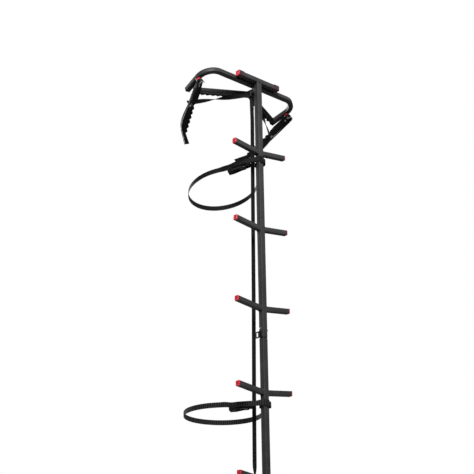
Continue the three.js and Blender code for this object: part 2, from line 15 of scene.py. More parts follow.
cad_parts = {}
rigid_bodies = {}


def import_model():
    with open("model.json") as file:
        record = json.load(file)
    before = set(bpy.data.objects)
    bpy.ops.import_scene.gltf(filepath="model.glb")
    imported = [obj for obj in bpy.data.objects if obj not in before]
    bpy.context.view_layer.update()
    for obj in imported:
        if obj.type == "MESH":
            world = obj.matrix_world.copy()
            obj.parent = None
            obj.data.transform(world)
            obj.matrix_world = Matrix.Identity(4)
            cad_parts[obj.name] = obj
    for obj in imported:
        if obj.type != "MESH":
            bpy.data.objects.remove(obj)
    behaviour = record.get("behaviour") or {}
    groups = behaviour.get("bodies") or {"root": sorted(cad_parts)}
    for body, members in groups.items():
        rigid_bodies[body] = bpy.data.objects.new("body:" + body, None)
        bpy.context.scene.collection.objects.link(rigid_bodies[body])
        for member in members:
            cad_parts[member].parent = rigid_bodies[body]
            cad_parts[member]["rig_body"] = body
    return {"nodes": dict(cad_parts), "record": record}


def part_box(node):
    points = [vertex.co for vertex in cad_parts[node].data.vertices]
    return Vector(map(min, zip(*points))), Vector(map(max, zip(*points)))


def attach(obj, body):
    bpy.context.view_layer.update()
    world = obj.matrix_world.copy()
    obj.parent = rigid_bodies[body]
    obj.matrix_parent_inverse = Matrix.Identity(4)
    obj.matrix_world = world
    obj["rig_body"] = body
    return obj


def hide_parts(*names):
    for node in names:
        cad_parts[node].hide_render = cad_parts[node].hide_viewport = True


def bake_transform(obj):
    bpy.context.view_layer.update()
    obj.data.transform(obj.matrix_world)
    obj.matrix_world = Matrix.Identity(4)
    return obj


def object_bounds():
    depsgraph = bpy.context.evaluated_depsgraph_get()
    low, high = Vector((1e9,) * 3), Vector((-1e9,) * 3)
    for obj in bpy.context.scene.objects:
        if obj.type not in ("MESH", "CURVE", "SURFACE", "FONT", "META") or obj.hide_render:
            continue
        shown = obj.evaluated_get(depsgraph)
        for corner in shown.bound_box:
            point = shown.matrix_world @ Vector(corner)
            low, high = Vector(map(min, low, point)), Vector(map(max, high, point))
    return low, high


MM = 0.001
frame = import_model()
cad_low, cad_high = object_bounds()
nodes = frame["nodes"]
GRIP = Vector((0, 87, 1560))  # the part's origin in the stand's frame
STEP_PITCH = 406.4
STEP_HEIGHTS = [(i - 1) * STEP_PITCH for i in range(5)]
TUBE = {"size": 25.0, "radius": 3.0}
POST = {"size": 29.0, "radius": 3.0, "bottom": -650.0, "joint": 264.0}
JOINT_GAP = 2.0  # half the dark line where the two posts meet
JOINT_BOLT_RISE = 42.0  # the joint's bolt above the place where the posts meet
GAP = 0.3  # between the ends of neighbouring pieces
SIDES = (("left", -1), ("right", 1))
ENDS = (("near", -1), ("far", 1))  # of a ratchet's spool
STANDOFF_HEIGHT = 1578.5
STEP = {"reach": 163.5, "rise": 0.129}
TOP_BAR = {"z": 4 * STEP_PITCH, "reach": 135.0, "sleeve": 28.8, "sleeve_length": 33.0}
GRAB = {
    "y": 31.0, "z": 1612.0, "tilt": 15.4, "bend": 75.0, "turn": 97.0, "straight": 228.5, "leg": 102.0,
}
JAW = {
    "x": 304.0, "y": 96.0, "z": 1558.0, "tilt": 37.0, "strap_in": 24.0, "strap_down": 132.0, "wall": 4.0,
}
JAW_FACE = 4.05  # from the middle of a jaw's plate to its face, with a little play
STRAP_EYE_RISE = 19.0  # the link strap's eye above the middle of the jaw's plate
YOKE = {"y": 50.0, "bottom": 1554.0, "half": 16.6}
TENSIONER = {"y": 76.0, "z": -470.0}
WEB_THICK = 1.8
RIB_PITCH = 11.0  # of the tree straps' cross ribs
DEEPEST_RIB = 0.6
RIB_SPACING = RIB_PITCH / 4  # of the stations that draw them
RATCHET = {"from_post": 50.0, "roll": 9.0, "inner": 14.5, "plate": 2.0, "length": 80.0, "spool": 11.0}
ANCHOR_INSET = 8.0  # the anchor pin from the far end of a ratchet's frame
ANCHOR_PROUD = 4.5
GEAR = {"radius": 15.0, "tooth": 3.8, "thick": 2.5, "chamfer": 0.35}
SPRING = {"start": 40.3, "end": 71.5, "height": 23.6, "radius": 2.4, "wire": 0.42, "turns": 9}
UPPER_STRAP = {"radius": 174.0, "centre": 279.0, "height": 1183.0, "slope": -0.23, "droop": 90.0,
               "rib": 0.12, "tail_drop": 9.0, "tail_end": 182.0, "turn_drop": 18.0}
LOWER_STRAP = {"radius": 186.0, "centre": 293.0, "height": -45.0, "slope": 0.0, "droop": 90.0,
               "rib": DEEPEST_RIB, "tail_drop": 9.0, "tail_end": 186.0, "turn_drop": 12.0}
TWIST = 70.0  # the length in which a tree strap turns from the ratchet's droop to the trunk


def at(x, y, z):
    """A point of the stand's frame in the part's frame, in metres."""
    return (Vector((x, y, z)) - GRIP) * MM


def place_object(name, data):
    made = bpy.data.objects.new(name, data)
    bpy.context.scene.collection.objects.link(made)
    return made


def turned_down(y, z, tilt):
    """A point (y, z) turned down about X by tilt degrees."""
    angle = -math.radians(tilt)
    return y * math.cos(angle) - z * math.sin(angle), y * math.sin(angle) + z * math.cos(angle)


def smooth_share(value, low, high):
    """How far a value is from low to high, from 0 to 1, easing in and out."""
    share = min(max((value - low) / (high - low), 0.0), 1.0)
    return share * share * (3 - 2 * share)


# ---- Camera and light ----
CAMERA_PLACE = Vector((-3.798, -4.120, -2.936))
CAMERA_HEADING = math.radians(42.07)  # to the right of +Y
CAMERA_PITCH = math.radians(21.23)
CAMERA_ROLL = math.radians(-0.83)
CAMERA_LENS = 93.1
LIGHT_SIZE = 3.0


def make_camera():
    data = bpy.data.cameras.new("camera")
    data.lens = CAMERA_LENS
    data.sensor_width = 36
    data.clip_start = 0.05
    data.clip_end = 100
    camera = place_object("camera", data)
    turn = Matrix.Rotation(-CAMERA_HEADING, 4, "Z")
    tilt = Matrix.Rotation(math.pi / 2 + CAMERA_PITCH, 4, "X")
    roll = Matrix.Rotation(CAMERA_ROLL, 4, "Z")
    camera.matrix_world = Matrix.Translation(CAMERA_PLACE) @ turn @ tilt @ roll
    bpy.context.scene.camera = camera


def area_light(name, place, target, power):
    data = bpy.data.lights.new(name, "AREA")
    data.shape = "DISK"
    data.size = LIGHT_SIZE
    data.energy = power
    light = place_object(name, data)
    light.location = place
    light.rotation_mode = "QUATERNION"
    light.rotation_quaternion = (Vector(target) - Vector(place)).to_track_quat("-Z", "Y")


def make_light():
    """A white backdrop, a weak even light and three large lamps."""
    scene = bpy.context.scene
    scene.view_settings.view_transform = "Standard"
    world = bpy.data.worlds.new("studio")
    scene.world = world
    world.use_nodes = True
    tree = world.node_tree
    tree.nodes.clear()
    backdrop = add_node(tree, "Background", {"Color": (1, 1, 1, 1), "Strength": 1.0})
    even = add_node(tree, "Background", {"Color": (0.93, 0.96, 1, 1), "Strength": 0.06})
    seen = add_node(tree, "LightPath").outputs["Is Camera Ray"]
    mix = add_node(tree, "MixShader", {0: seen, 1: even.outputs[0], 2: backdrop.outputs[0]})
    add_node(tree, "OutputWorld", {"Surface": mix.outputs[0]})
    middle = (cad_low + cad_high) / 2
    area_light("key", (-3.1, -4.1, 2.8), middle, 560)
    area_light("fill", (3.4, -3.4, 2.4), middle, 40)
    area_light("back", (0.1, 4.8, 1.6), middle, 230)


# ---- Materials ----
def add_node(tree, kind, inputs=(), **settings):
    """A shader node with its settings and its inputs, each a value or another node's output."""
    node = tree.nodes.new("ShaderNode" + kind)
    for key, value in settings.items():
        setattr(node, key, value)
    for key, value in dict(inputs).items():
        if isinstance(value, bpy.types.NodeSocket):
            tree.links.new(value, node.inputs[key])
        else:
            node.inputs[key].default_value = value
    return node


def start_material(name, roughness, metallic, specular=0.5):
    made = bpy.data.materials.new(name)
    made.use_nodes = True
    shader = made.node_tree.nodes["Principled BSDF"]
    shader.inputs["Roughness"].default_value = roughness
    shader.inputs["Metallic"].default_value = metallic
    shader.inputs["Specular IOR Level"].default_value = specular
    return made, made.node_tree, shader


def noise_of(tree, place, scale, detail=2.0, rough=0.5):
    inputs = {"Vector": place, "Scale": scale, "Detail": detail, "Roughness": rough}
    return add_node(tree, "TexNoise", inputs).outputs["Fac"]


def ramp(tree, value, low, high, start=0.0, end=1.0):
    """A value in one range turned into a value in another."""
    inputs = {"Value": value, "From Min": low, "From Max": high, "To Min": start, "To Max": end}
    return add_node(tree, "MapRange", inputs).outputs["Result"]


def as_input(colour):
    return colour if isinstance(colour, bpy.types.NodeSocket) else (*colour, 1)


def mix_colours(tree, share, first, second):
    inputs = {0: share, 6: as_input(first), 7: as_input(second)}
    return add_node(tree, "Mix", inputs, data_type="RGBA").outputs[2]


def object_place(tree):
    return add_node(tree, "TexCoord").outputs["Object"]


def attribute(tree, name):
    return add_node(tree, "Attribute", attribute_name=name).outputs["Fac"]


def product(tree, first, second):
    return add_node(tree, "Math", {0: first, 1: second}, operation="MULTIPLY").outputs[0]


def set_surface(tree, shader, colour, height, depth, strength, dullness=None):
    """Links a material's colour, its fine relief, whose depth is in metres, and its roughness."""
    bump = add_node(tree, "Bump", {"Height": height, "Distance": depth, "Strength": strength})
    tree.links.new(colour, shader.inputs["Base Color"])
    tree.links.new(bump.outputs["Normal"], shader.inputs["Normal"])
    if dullness is not None:
        tree.links.new(dullness, shader.inputs["Roughness"])


def coated(name, dark, light, worn, roughness=0.5, metallic=0.0, grain=1800, grain_depth=0.00005,
           wear=0.5, specular=0.5, highlight_colour=None):
    """A coat on metal with grain and slow changes of tone.
    Its edges are worn where the "edge" attribute is set; on the black steel that lighter edge tone also
    stands for a painted highlight. Where "cut" is set, a bright steel colour is put on as a painted
    highlight."""
    made, tree, shader = start_material(name, roughness, metallic, specular)
    place = object_place(tree)
    clouds = noise_of(tree, place, 9, 4, 0.6)
    speckle = noise_of(tree, place, grain, 1)
    patches = noise_of(tree, place, 130, 4, 0.65)
    tone = mix_colours(tree, ramp(tree, clouds, 0.35, 0.65), dark, light)
    # worn edges; on the black steel their lighter tone is also a painted highlight
    edge_rub_and_highlight = product(tree, attribute(tree, "edge"), ramp(tree, patches, 1 - wear, 1.2 - wear))
    colour = mix_colours(tree, edge_rub_and_highlight, tone, worn)
    # painted highlight: a bright colour on the faces marked "cut"
    if highlight_colour:
        colour = mix_colours(tree, attribute(tree, "cut"), colour, highlight_colour)
    smears = noise_of(tree, place, 28, 3)
    smudges = ramp(tree, smears, 0.3, 0.7, roughness - 0.07, roughness + 0.09)
    set_surface(tree, shader, colour, speckle, grain_depth, 0.6, smudges)
    return made


def plated(name):
    """Bright zinc plate: fine brushing, cloudy passivation and dull spots."""
    made, tree, shader = start_material(name, 0.34, 1.0)
    place = object_place(tree)
    clouds = noise_of(tree, place, 60, 4, 0.6)
    tone = mix_colours(tree, ramp(tree, clouds, 0.3, 0.7), (0.34, 0.34, 0.32), (0.52, 0.52, 0.5))
    dullness = ramp(tree, clouds, 0.3, 0.7, 0.45, 0.28)
    set_surface(tree, shader, tone, noise_of(tree, place, 900, 2), 0.00003, 0.4, dullness)
    return made


def moulded(name, deep, bright, roughness):
    """Moulded plastic: fine spark-eroded grain, slightly uneven colour and scuffed edges."""
    made, tree, shader = start_material(name, roughness, 0.0)
    place = object_place(tree)
    clouds = noise_of(tree, place, 70, 3)
    tone = mix_colours(tree, ramp(tree, clouds, 0.3, 0.7), deep, bright)
    patches = noise_of(tree, place, 240, 3, 0.65)
    scuff = product(tree, attribute(tree, "edge"), ramp(tree, patches, 0.5, 0.8, 0, 0.45))
    pale = tuple(0.6 * channel + 0.12 for channel in bright)
    colour = mix_colours(tree, scuff, tone, pale)
    dullness = ramp(tree, clouds, 0.3, 0.7, roughness - 0.05, roughness + 0.1)
    set_surface(tree, shader, colour, noise_of(tree, place, 2600, 1), 0.00003, 0.5, dullness)
    return made


def woven(name, dark, light):
    """Polyester webbing: a twill along "run" and "across" in millimetres, with fuzz, faded tops and a
    painted highlight on the tops of the cross ribs.
    """
    made, tree, shader = start_material(name, 0.72, 0.0, 0.15)
    shader.inputs["Sheen Weight"].default_value = 0.04
    shader.inputs["Sheen Roughness"].default_value = 0.5
    run = attribute(tree, "run")
    across = attribute(tree, "across")
    flat = add_node(tree, "CombineXYZ", {"X": run, "Y": across}).outputs[0]
    folded = add_node(tree, "Math", {0: across, 1: 3.1}, operation="PINGPONG").outputs[0]
    twill = add_node(tree, "CombineXYZ", {"X": run, "Y": folded}).outputs[0]
    wave = {"Vector": twill, "Scale": 0.30, "Distortion": 0.4, "Detail": 1.0}
    ribs = add_node(tree, "TexWave", wave, bands_direction="DIAGONAL").outputs["Fac"]
    fuzz = noise_of(tree, flat, 2.2, 4, 0.7)
    weave = {0: ribs, 1: fuzz, 2: fuzz}
    height = add_node(tree, "Math", weave, operation="MULTIPLY_ADD").outputs[0]
    wear = noise_of(tree, flat, 0.05, 3)
    share = product(tree, ribs, ramp(tree, wear, 0.3, 0.7, 0.35, 1.0))
    tone = mix_colours(tree, share, dark, light)
    # painted highlight: the tops of the cross ribs are mixed towards a lighter tone
    colour = mix_colours(tree, attribute(tree, "rib_highlight"), tone, RIB_HIGHLIGHT_TONE)
    set_surface(tree, shader, colour, height, 0.00025, 0.7)
    return made


def grey(tone):
    return (tone, tone, tone)


RIB_HIGHLIGHT_TONE = (0.042, 0.042, 0.044)  # painted highlight on the tops of the ribs
BLACK = ((0.004, 0.004, 0.0043), (0.008, 0.008, 0.0085))
CHARCOAL = ((0.029, 0.028, 0.029), (0.041, 0.040, 0.041))
BLACK_ZINC = ((0.018, 0.018, 0.019), (0.035, 0.035, 0.036))
# a bright steel colour used as a painted highlight on the jaws' cut edges
HIGHLIGHT_STEEL = (0.75, 0.75, 0.74)
MATERIALS = {
    "powder_coat": coated("charcoal_powder_coat", *CHARCOAL, (0.09, 0.088, 0.086), specular=0.3),
    # black steel: its worn-edge tone is raised to serve as wear and as a painted highlight on edges
    "black_steel": coated(
        "black_powder_coat", *BLACK, grey(0.16), 0.46, wear=0.66, specular=0.22, highlight_colour=HIGHLIGHT_STEEL,
    ),
    "ratchet_steel": coated(
        "black_pressed_steel", *BLACK, (0.13, 0.13, 0.125), 0.42, 0.0, 900, 0.00003, 0.55, specular=0.22,
    ),
    "dark_zinc": coated(
        "black_zinc_plate", *BLACK_ZINC, (0.2, 0.2, 0.19), 0.36, 0.6, 700, 0.00003, 0.6,
    ),
    "zinc_hardware": plated("zinc_plate"),
    "step_cap": moulded("red_cap_plastic", (0.62, 0.02, 0.035), (0.78, 0.035, 0.055), 0.36),
    "top_bar_cap": moulded("maroon_sleeve_plastic", (0.030, 0.008, 0.010), (0.05, 0.011, 0.014), 0.42),
    "sleeve_end": moulded("red_sleeve_end", (0.68, 0.03, 0.06), (0.8, 0.05, 0.085), 0.38),
    "black_plastic": moulded("black_cap_plastic", (0.012, 0.012, 0.013), (0.022, 0.022, 0.023), 0.5),
    "webbing": woven("black_webbing", (0.002, 0.002, 0.0022), (0.009, 0.009, 0.0094)),
    "stitching": woven("grey_thread", grey(0.05), grey(0.12)),
    "weld": coated("coated_weld_bead", (0.018, 0.018, 0.019), (0.026, 0.026, 0.027), grey(0.1), 0.55),
    "joint_insert": coated("oiled_joint_insert", grey(0.002), grey(0.005), grey(0.02), specular=0.15),
}


# ---- Pieces ----
def finish_piece(name, mesh, body, finish, replaced=(), smooth_angle=38):
    """Links the mesh as a piece that rides on a body, with a finish and the CAD nodes it stands for."""
    mesh.materials.append(MATERIALS[finish])
    mesh.shade_smooth()
    mesh.set_sharp_from_angle(angle=math.radians(smooth_angle))
    piece = place_object(name, mesh)
    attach(piece, body)
    if replaced:
        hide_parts(*replaced)
    return piece


def mesh_of(shape, name):
    """Turns a bmesh into a mesh with its faces turned outwards."""
    bmesh.ops.recalc_face_normals(shape, faces=shape.faces)
    mesh = bpy.data.meshes.new(name)
    shape.to_mesh(mesh)
    shape.free()
    return mesh


def set_values(mesh, name, domain, values):
    layer = mesh.attributes.new(name, "FLOAT", domain)
    layer.data.foreach_set("value", values)


def set_edges(mesh, test=lambda face: False):
    """Writes the "edge" attribute: 1 on the faces that wear first."""
    set_values(mesh, "edge", "FACE", [float(test(face)) for face in mesh.polygons])


def rim(mesh, face):
    """The length round a face."""
    points = [mesh.vertices[i].co for i in face.vertices]
    return sum((points[i] - points[i - 1]).length for i in range(len(points)))


def refine(node, width=0.6, segments=2, finish=None):
    """A CAD node again with flat faces merged and its sharp edges rounded."""
    shape = bmesh.new()
    shape.from_mesh(nodes[node].data)
    bmesh.ops.remove_doubles(shape, verts=shape.verts, dist=1e-6)
    bmesh.ops.dissolve_limit(shape, angle_limit=math.radians(0.6), verts=shape.verts, edges=shape.edges)
    limit = math.radians(32)
    sharp = [e for e in shape.edges if len(e.link_faces) == 2 and e.calc_face_angle(0) > limit]
    bmesh.ops.bevel(
        shape, geom=sharp, offset=width * MM, offset_type="OFFSET", segments=segments, profile=0.5,
        affect="EDGES", clamp_overlap=True,
    )
    mesh = mesh_of(shape, f"{node}_shape")
    narrow = 0.45 * width * MM
    set_edges(mesh, lambda face: face.area < narrow * rim(mesh, face))
    slot = next(p["material_slot"] for p in frame["record"]["subparts"] if p["node"] == node)
    return finish_piece(f"{node}_shape", mesh, nodes[node]["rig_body"], finish or slot, (node,))


def flag_cut_edge_highlight(piece, facing, width):
    """Marks the narrow faces that look one way for a painted highlight of bright steel colour: the cut
    edge of a flange.
    """
    mesh = piece.data
    narrow = 0.55 * width * MM
    cut = [float(f.normal.dot(facing) > 0.9 and f.area < narrow * rim(mesh, f)) for f in mesh.polygons]
    set_values(mesh, "cut", "FACE", cut)


def rounded_square(size, radius, per_corner=5):
    flat = size / 2 - radius
    points = []
    for corner, (x, y) in enumerate(((flat, flat), (-flat, flat), (-flat, -flat), (flat, -flat))):
        for i in range(per_corner + 1):
            angle = math.pi / 2 * (corner + i / per_corner)
            points.append((x + radius * math.cos(angle), y + radius * math.sin(angle)))
    return points


def add_skin(shape, sections, closed=False):
    """Adds a surface through sections with equal numbers of points, with ends unless it is a loop."""
    rows = [[shape.verts.new(point) for point in section] for section in sections]
    count = len(rows[0])
    pairs = list(zip(rows, rows[1:]))
    if closed:
        pairs.append((rows[-1], rows[0]))
    for near, far in pairs:
        for i in range(count):
            j = (i + 1) % count
            shape.faces.new((near[i], near[j], far[j], far[i]))
    if not closed:
        shape.faces.new(rows[0][::-1])
        shape.faces.new(rows[-1])


def skin_mesh(name, sections):
    shape = bmesh.new()
    add_skin(shape, sections)
    return mesh_of(shape, name)


def circle(radius, sides, height=0.0, centre=(0.0, 0.0)):
    """The points of a level ring."""
    points = []
    for i in range(sides):
        angle = 2 * math.pi * i / sides
        x, y = centre[0] + radius * math.cos(angle), centre[1] + radius * math.sin(angle)
        points.append(Vector((x, y, height)))
    return points


def lathe(profile, place, sides):
    """Sections of a turned body: profile lists (radius, height), place is the matrix of its axis."""
    return [[place @ point for point in circle(radius, sides, height)] for radius, height in profile]


def axis_place(centre, axis):
    """A matrix, in metres, whose Z runs along an axis through a point of the stand's frame."""
    turn = Vector(axis).to_track_quat("Z", "Y").to_matrix().to_4x4()
    return Matrix.Translation(at(*centre)) @ turn @ Matrix.Scale(MM, 4)


def skin_piece(name, rows, body, finish, replaced=(), smooth_angle=40, worn=()):
    """A piece with one surface through its rows; worn lists the bands between rows that wear first."""
    mesh = skin_mesh(name, rows)
    set_edges(mesh, lambda face: face.index // len(rows[0]) in worn)
    finish_piece(name, mesh, body, finish, replaced, smooth_angle)


def bare_piece(name, shape, body, finish, replaced=(), smooth_angle=30):
    """A piece made from a finished bmesh, with no worn edges."""
    mesh = mesh_of(shape, name)
    set_edges(mesh)
    finish_piece(name, mesh, body, finish, replaced, smooth_angle)


# ---- Tubes ----
TUBE_SECTION = rounded_square(TUBE["size"], TUBE["radius"])


def tube_piece(name, rows, node):
    skin_piece(name, rows, "root", "powder_coat", (node,), 30)


def cross_tube(node, height, reach, rise):
    """A tube across the post; both its arms rise outwards."""
    stations = [-reach, -reach / 2, -18, 0, 18, reach / 2, reach]
    rows = [[at(x, u, height + v + abs(x) * rise) for u, v in TUBE_SECTION] for x in stations]
    tube_piece(f"{node}_tube", rows, node)


def upright_tube(node, low, high):
    section = rounded_square(POST["size"], POST["radius"])
    rows = [[at(u, v, z) for u, v in section] for z in (low, (low + high) / 2, high)]
    tube_piece(f"{node}_tube", rows, node)


def grab_bar_line():
    """Stations of the grab bar in its own plane: place and heading."""
    straight, bend, leg = GRAB["straight"], GRAB["bend"], GRAB["leg"]
    full = math.radians(GRAB["turn"])
    steps = 22
    half = [((x, 0.0), 0.0) for x in (0, 80, 160, straight)]
    for i in range(1, steps + 1):
        turn = full * i / steps
        half.append(((straight + bend * math.sin(turn), bend * (1 - math.cos(turn))), turn))
    (x, y), turn = half[-1]
    for reach in (leg / 2, leg):
        half.append(((x + reach * math.cos(turn), y + reach * math.sin(turn)), turn))
    mirrored = [((-x, y), -turn) for (x, y), turn in half]
    return mirrored[:0:-1] + half


def make_grab_bar():
    rows = []
    for (x, y), heading in grab_bar_line():
        row = []
        for u, v in TUBE_SECTION:
            turned_y, turned_z = turned_down(y + math.cos(heading) * u, v, GRAB["tilt"])
            row.append(at(x - math.sin(heading) * u, GRAB["y"] + turned_y, GRAB["z"] + turned_z))
        rows.append(row)
    tube_piece("grab_bar_tube", rows, "grab_bar")


def add_bead(shape, loop, radius, seed):
    """Adds a weld bead along a closed loop of points in metres: a rope of overlapping puddles."""
    count = len(loop)
    centre = sum(loop, Vector()) / count
    rows = []
    for i, point in enumerate(loop):
        ahead = (loop[(i + 1) % count] - loop[i - 1]).normalized()
        out = (point - centre).normalized()
        side = ahead.cross(out).normalized()
        out = side.cross(ahead).normalized()
        uneven = noise.noise(point * 90 + Vector((seed, 0, 0)))
        ripple = 1 + 0.16 * math.sin(i * 2.1 + seed) + 0.2 * uneven
        rows.append([point + out * spot.x + side * spot.y for spot in circle(radius * MM * ripple, 8)])
    add_skin(shape, rows, closed=True)


def resample(points, spacing):
    """Points along a closed line at an even spacing, in metres."""
    lengths = [(points[(i + 1) % len(points)] - p).length for i, p in enumerate(points)]
    total = sum(lengths)
    count = max(8, int(total / (spacing * MM)))
    result = []
    reached = 0.0
    index = 0
    for i in range(count):
        target = total * i / count
        while reached + lengths[index] < target:
            reached += lengths[index]
            index += 1
        share = (target - reached) / lengths[index]
        result.append(points[index].lerp(points[(index + 1) % len(points)], share))
    return result


def weld_piece(name, loops):
    shape = bmesh.new()
    for i, loop in enumerate(loops):
        add_bead(shape, resample(loop, 2.4), 1.9, i + 1.0)
    bare_piece(name, shape, "root", "weld", (), 70)


def make_tubes():
    collar = rounded_square(TUBE["size"] + 1.2, TUBE["radius"] + 0.6, 3)
    for number, height in enumerate(STEP_HEIGHTS, 1):
        cross_tube(f"step_{number}", height, STEP["reach"], STEP["rise"])
        wall = POST["size"] / 2 + 0.5
        middle = height + wall * STEP["rise"]
        loops = [[at(side * wall, u, middle + v) for u, v in collar] for side in (-1, 1)]
        weld_piece(f"step_{number}_welds", loops)
    cross_tube("top_bar", TOP_BAR["z"], TOP_BAR["reach"], 0)
    top = TOP_BAR["z"] - TUBE["size"] / 2
    weld_piece("top_bar_weld", [[at(u, v, top - 0.6) for u, v in rounded_square(28.6, 3, 3)]])
    upright_tube("lower_post", POST["bottom"], POST["joint"] - JOINT_GAP)
    upright_tube("upper_post", POST["joint"] + JOINT_GAP, top - GAP)
    front = POST["size"] / 2 + GAP
    standoff_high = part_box("grip_bar_standoff")[1]
    back = standoff_high.y / MM + GRIP.y
    rows = [[at(u, y, STANDOFF_HEIGHT + v) for u, v in TUBE_SECTION] for y in (front, back)]
    tube_piece("grip_standoff_tube", rows, "grip_bar_standoff")
    loops = [[at(u, y, STANDOFF_HEIGHT + v) for u, v in collar] for y in (front + 0.4, back - 0.4)]
    weld_piece("grip_standoff_welds", loops)
    make_grab_bar()
    behind = POST["size"] / 2 + 1.2
    pad = [at(u * 0.9, behind, GRAB["z"] + v * 0.75) for u, v in rounded_square(29, 3, 3)]
    weld_piece("grab_bar_weld", [pad])


# ---- Caps ----
def cap_sections(size, profile, place):
    """Sections of a cap: profile lists (inset, depth) outwards along the place's Z."""
    rows = []
    for inset, depth in profile:
        radius = min(max(3.2 - 0.6 * inset, 0.4), size / 2 - inset)
        outline = rounded_square(size - 2 * inset, radius)
        rows.append([place @ Vector((u, v, depth)) for u, v in outline])
    return rows


def end_place(side, reach, height, lean=0.0):
    """A matrix whose Z points outwards along X at one end of a cross tube, sheared with the tube."""
    turn = Matrix(((0, 0, side, 0), (side, 0, 0, 0), (0, 1, 0, 0), (0, 0, 0, 1)))
    shear = Matrix.Identity(4)
    shear[1][2] = lean
    return Matrix.Translation(at(side * reach, 0, height)) @ turn @ shear @ Matrix.Scale(MM, 4)


def make_step_caps():
    """Plugs with a rounded rim and a shallow dish in the end."""
    profile = [
        (2.4, -15), (2.4, -0.1), (0.0, 0.0), (0.0, 2.9), (0.25, 3.6), (0.8, 4.1), (1.5, 4.3),
        (2.8, 4.35), (3.4, 4.0), (5.0, 3.9), (9.0, 4.1),
    ]
    for number, height in enumerate(STEP_HEIGHTS, 1):
        for label, side in SIDES:
            lift = height + STEP["reach"] * STEP["rise"]
            place = end_place(side, STEP["reach"] + GAP, lift, STEP["rise"])
            rows = cap_sections(TUBE["size"] + 0.6, profile, place)
            name = f"step_{number}_cap_{label}"
            skin_piece(f"{name}_shape", rows, "root", "step_cap", (name,), 45, worn=(3, 4, 5))


def make_sleeves():
    """Sleeves on the T-bar with two grooves round them, each with a red end."""
    size = TOP_BAR["sleeve"]
    length = TOP_BAR["sleeve_length"]
    body = [(1.6, -length), (0.4, -length), (0.0, -length + 0.8)]
    for groove in (-24, -18):
        body += [(0.0, groove), (0.35, groove + 0.6), (0.35, groove + 2.4), (0.0, groove + 3)]
    body += [(0.0, -1.6), (0.3, -1.2)]
    cover = [
        (0.9, -1.3), (0.5, -1.2), (0.45, -0.9), (0.6, -0.4), (1.1, -0.05), (2.0, 0.0), (3.2, 0.0),
        (3.7, -0.4), (6.0, -0.45), (11.0, -0.2),
    ]
    for label, side in SIDES:
        place = end_place(side, TOP_BAR["reach"] + 3.3, TOP_BAR["z"])
        name = f"top_bar_cap_{label}"
        skin_piece(f"{name}_sleeve", cap_sections(size, body, place), "root", "top_bar_cap", (name,), 45)
        rows = cap_sections(size, cover, place)
        skin_piece(f"{name}_end", rows, "root", "sleeve_end", (), 45, worn=(2, 3))


# ---- Fasteners ----
def thread_piece(name, centre, axis, start, end, radius):
    """A threaded length of bolt that stands out of a nut."""
    pitch = 1.25
    root = radius - 0.55
    profile = [(radius - 0.7, start)]
    height = start
    while height + pitch < end:
        profile += [(root, height + 0.1), (radius, height + pitch / 2), (root, height + pitch - 0.1)]
        height += pitch
    profile += [(radius - 0.6, height + 0.1), (radius - 1.3, end)]
    skin_piece(name, lathe(profile, axis_place(centre, axis), 20), "root", "zinc_hardware", (), 60)


def washer_piece(name, centre, axis, start, thick, radius, body):
    hole = 4.4
    bevel = 0.3
    end = start + thick
    profile = [
        (hole, start), (radius - bevel, start), (radius, start + bevel), (radius, end - bevel),
        (radius - bevel, end), (hole, end),
    ]
    skin_piece(name, lathe(profile, axis_place(centre, axis), 32), body, "zinc_hardware")


def jaw_point(x, y, z):
    """A point of the jaws' tilted plane in the stand's frame, in millimetres."""
    turned_y, turned_z = turned_down(y, z, JAW["tilt"])
    return Vector((x, JAW["y"] + turned_y, JAW["z"] + turned_z))


JAW_AXIS = (jaw_point(0, 0, 1) - jaw_point(0, 0, 0)).normalized()


# ---- Flat plates and jaws ----
def make_plates():
    refine("grip_bar", 0.9)
    refine("tooth_plate_left", 0.55)
    refine("tooth_plate_right", 0.55)
    refine("strap_yoke", 0.8)
    refine("strap_keeper")
    refine("tensioner_bracket", 0.7)
    refine("joint_insert", 0.5, finish="joint_insert")
    refine("post_plug", 1.2, 3)
    for label, side in SIDES:
        jaw = f"jaw_{label}"
        # the narrow faces of the jaw's flange that face -JAW_AXIS get a painted highlight
        flag_cut_edge_highlight(refine(jaw, 0.8, 3), -JAW_AXIS, JAW["wall"])
        refine(f"{jaw}_hinge", 0.7)
        refine(f"{jaw}_pivot_bolt", 0.5)
        refine(f"{jaw}_strap_bolt", 0.5)
        refine(f"grab_bar_cap_{label}", 1.0, 3)
        pivot = jaw_point(side * JAW["x"], 0, 0)
        washer_piece(f"{jaw}_pivot_washer", pivot, -JAW_AXIS, JAW_FACE, 1.3, 9.6, "root")
        ring = [(12.05, 6.0), (12.9, 6.3), (13.2, 7.0), (13.2, 16.5), (12.9, 17.2), (12.05, 17.5)]
        rows = lathe(ring, axis_place(pivot, JAW_AXIS), 40)
        skin_piece(f"{jaw}_bushing", rows, "root", "step_cap", (), 50)
        hook = jaw_point(side * (JAW["x"] - JAW["strap_in"]), JAW["strap_down"], 0)
        washer_piece(f"{jaw}_strap_washer", hook, -JAW_AXIS, JAW_FACE, 0.9, 9.2, jaw)
        washer_piece(f"{jaw}_strap_keeper", hook, JAW_AXIS, JAW_FACE, 1.4, 9.8, jaw)
        stop = jaw_point(side * (JAW["x"] - 6), 21, 0)
        profile = [(3.2, 4.0), (6.0, 4.2), (6.3, 4.9), (6.0, 7.4), (4.6, 8.6), (2.4, 9.1)]
        rows = lathe(profile, axis_place(stop, -JAW_AXIS), 6)
        skin_piece(f"{jaw}_stop_bolt", rows, jaw, "zinc_hardware", (), 20)


def make_joint_hardware():
    refine("joint_bolt", 0.5)
    refine("joint_nut", 0.5)
    centre = (0, 0, POST["joint"] + JOINT_BOLT_RISE)
    right = (1, 0, 0)
    half = POST["size"] / 2
    washer_piece("joint_washer_right", centre, right, half + 0.02, 0.9, 9.5, "root")
    thread_piece("joint_bolt_thread", centre, right, half + 7.4, half + 12.6, 4.35)


